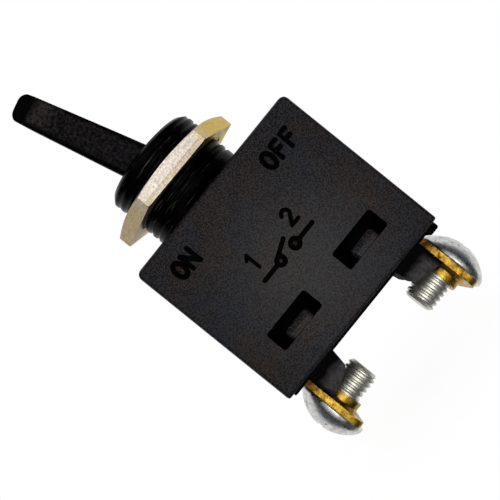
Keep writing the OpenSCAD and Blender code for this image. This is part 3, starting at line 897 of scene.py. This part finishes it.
def makeSpring():
    joints = {joint["name"]: joint for joint in frame["record"]["behaviour"]["joints"]}
    pivot = Vector(joints["lever_tilt"]["pos_m"]) / mm
    axis = Vector(joints["plunger_slide"]["axis"]).normalized()
    points = [vert.co / mm - pivot for vert in cadNodes["toggle_spring"].data.vertices]
    heights = [point.dot(axis) for point in points]
    wire = springSet["wire"]
    coilRadius = max((point - axis * height).length for point, height in zip(points, heights)) - wire / 2
    low, high = min(heights) + wire / 2, max(heights) - wire / 2
    bm = bmesh.new()
    upright = Matrix.Translation((coilRadius, 0, low)) @ Matrix.Rotation(math.radians(90), 4, "X")
    ring = bmesh.ops.create_circle(bm, cap_ends=True, segments=springSet["wireSteps"], radius=wire / 2,
                                   matrix=upright)["verts"]
    steps = round(springSet["turns"] * springSet["steps"])
    bmesh.ops.spin(bm, geom=list(ring[0].link_faces), cent=origin, axis=zAxis,
                   dvec=(0, 0, (high - low) / steps), angle=math.tau * springSet["turns"], steps=steps,
                   use_merge=False, use_duplicate=False)
    bmesh.ops.recalc_face_normals(bm, faces=bm.faces)
    spring = workObject("coil_spring", bm, [finishes["spring_steel"]])
    turn = Vector(zAxis).rotation_difference(axis).to_matrix().to_4x4()
    spring.data.transform(Matrix.Translation(pivot) @ turn)
    finishPiece(spring, "toggle_spring", springSet["sharpAngle"])
    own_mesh(spring)


makeSpring()


# studio: white all round, a pale floor, three soft lamps of growing size behind the camera, and a dark drum
# that the metal reflects

studioSet = {
    "worldLevel": 0.45,
    "floorDrop": 2.0,
    "floorSize": 3000.0,
    "floorTone": (0.9, 0.9, 0.9),
    "floorRough": 0.8,
    "floorLift": 0.55,
    "shadowReach": 45.0,
    "shadowShare": 0.25,
    "lamps": [
        # name, place, diameter, watts, colour
        ("keyLamp", (11, -300, -40), 70, 0.13, (1.0, 0.985, 0.96)),
        ("frontLamp", (5, -305, -10), 260, 0.2, (1.0, 0.99, 0.97)),
        ("fillLamp", (5, -310, 10), 700, 0.62, (1.0, 0.99, 0.98)),
    ],
    "lampTarget": (1, 0, -8),
    "drumRadius": 420.0,
    "drumFront": -420.0,
    "drumBack": 100.0,
    "drumSteps": 48,
    "drumTone": (0.06, 0.068, 0.08),
}
seenRays = ["Is Camera Ray", "Is Glossy Ray", "Is Transmission Ray"]


def seenShare(nodes, links):
    # 1 for the rays that see a surface, 0 for those that only light it
    path = nodes.new("ShaderNodeLightPath")
    return joined(nodes, links, [path.outputs[name] for name in seenRays], "MAXIMUM")


def shaderMix(nodes, links, share, first, second):
    node = nodes.new("ShaderNodeMixShader")
    links.new(share, node.inputs["Fac"])
    links.new(first, node.inputs[1])
    links.new(second, node.inputs[2])
    return node.outputs[0]


def whiteWorld():
    world = bpy.data.worlds.new("whiteStudio")
    bpy.context.scene.world = world
    world.use_nodes = True
    nodes, links = world.node_tree.nodes, world.node_tree.links
    nodes.clear()
    output = nodes.new("ShaderNodeOutputWorld")
    lighting, seen = nodes.new("ShaderNodeBackground"), nodes.new("ShaderNodeBackground")
    for background, level in ((lighting, studioSet["worldLevel"]), (seen, 1.0)):
        background.inputs["Color"].default_value = (*white, 1)
        background.inputs["Strength"].default_value = level
    both = shaderMix(nodes, links, seenShare(nodes, links), lighting.outputs[0], seen.outputs[0])
    links.new(both, output.inputs["Surface"])


def makeFloor():
    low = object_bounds()[0]
    bm = bmesh.new()
    bmesh.ops.create_grid(bm, x_segments=1, y_segments=1, size=studioSet["floorSize"] / 2 * mm)
    bmesh.ops.translate(bm, verts=bm.verts, vec=(0, 0, low[2] - studioSet["floorDrop"] * mm))
    material, nodes, links, shader, coords = newMaterial("paleFloor")
    shader.inputs["Base Color"].default_value = (*studioSet["floorTone"], 1)
    shader.inputs["Roughness"].default_value = studioSet["floorRough"]
    # the floor's own shading shows near the object and fades to plain white round it
    reach = 1 / (studioSet["shadowReach"] * mm)
    near = nodes.new("ShaderNodeTexGradient")
    near.gradient_type = "SPHERICAL"
    links.new(stretched(nodes, links, coords, (reach, reach, 0)), near.inputs["Vector"])
    fade = nodes.new("ShaderNodeMapRange")
    fade.inputs["To Min"].default_value = 1.0
    fade.inputs["To Max"].default_value = 1.0 - studioSet["shadowShare"]
    links.new(near.outputs["Fac"], fade.inputs["Value"])
    lift = nodes.new("ShaderNodeEmission")
    lift.inputs["Strength"].default_value = studioSet["floorLift"]
    lifted = nodes.new("ShaderNodeAddShader")
    links.new(shader.outputs[0], lifted.inputs[0])
    links.new(lift.outputs[0], lifted.inputs[1])
    plain = nodes.new("ShaderNodeEmission")
    seen = shaderMix(nodes, links, fade.outputs["Result"], lifted.outputs[0], plain.outputs[0])
    both = shaderMix(nodes, links, seenShare(nodes, links), shader.outputs[0], seen)
    links.new(both, nodes["Material Output"].inputs["Surface"])
    floor = workObject("floor", bm, [material])
    floor.visible_glossy = False
    floor.visible_shadow = False


def makeDrum():
    # round the camera's side, seen only in reflections
    material, nodes, links = newMaterial("darkFlag")[:3]
    dark = nodes.new("ShaderNodeEmission")
    dark.inputs["Color"].default_value = (*studioSet["drumTone"], 1)
    links.new(dark.outputs[0], nodes["Material Output"].inputs["Surface"])
    radius, front = studioSet["drumRadius"], studioSet["drumFront"]
    profile = [(radius, -studioSet["drumBack"]), (radius, -front), (0, -front)]
    drum = turnedBody("darkDrum", profile, studioSet["drumSteps"], [material])
    drum.data.transform(Matrix.Scale(mm, 4) @ Matrix.Rotation(math.radians(90), 4, "X"))
    drum.visible_camera = False
    drum.visible_diffuse = False
    drum.visible_shadow = False
    drum.visible_transmission = False


def makeLamps():
    target = Vector(studioSet["lampTarget"]) * mm
    for name, place, size, watts, colour in studioSet["lamps"]:
        data = bpy.data.lights.new(name, "AREA")
        data.shape = "DISK"
        data.size = size * mm
        data.energy = watts
        data.color = colour
        lamp = bpy.data.objects.new(name, data)
        bpy.context.scene.collection.objects.link(lamp)
        lamp.location = Vector(place) * mm
        lamp.rotation_euler = (target - lamp.location).to_track_quat("-Z", "Y").to_euler()


whiteWorld()
makeFloor()
makeDrum()
makeLamps()
bpy.context.scene.view_settings.view_transform = "Standard"
print("studio ready")
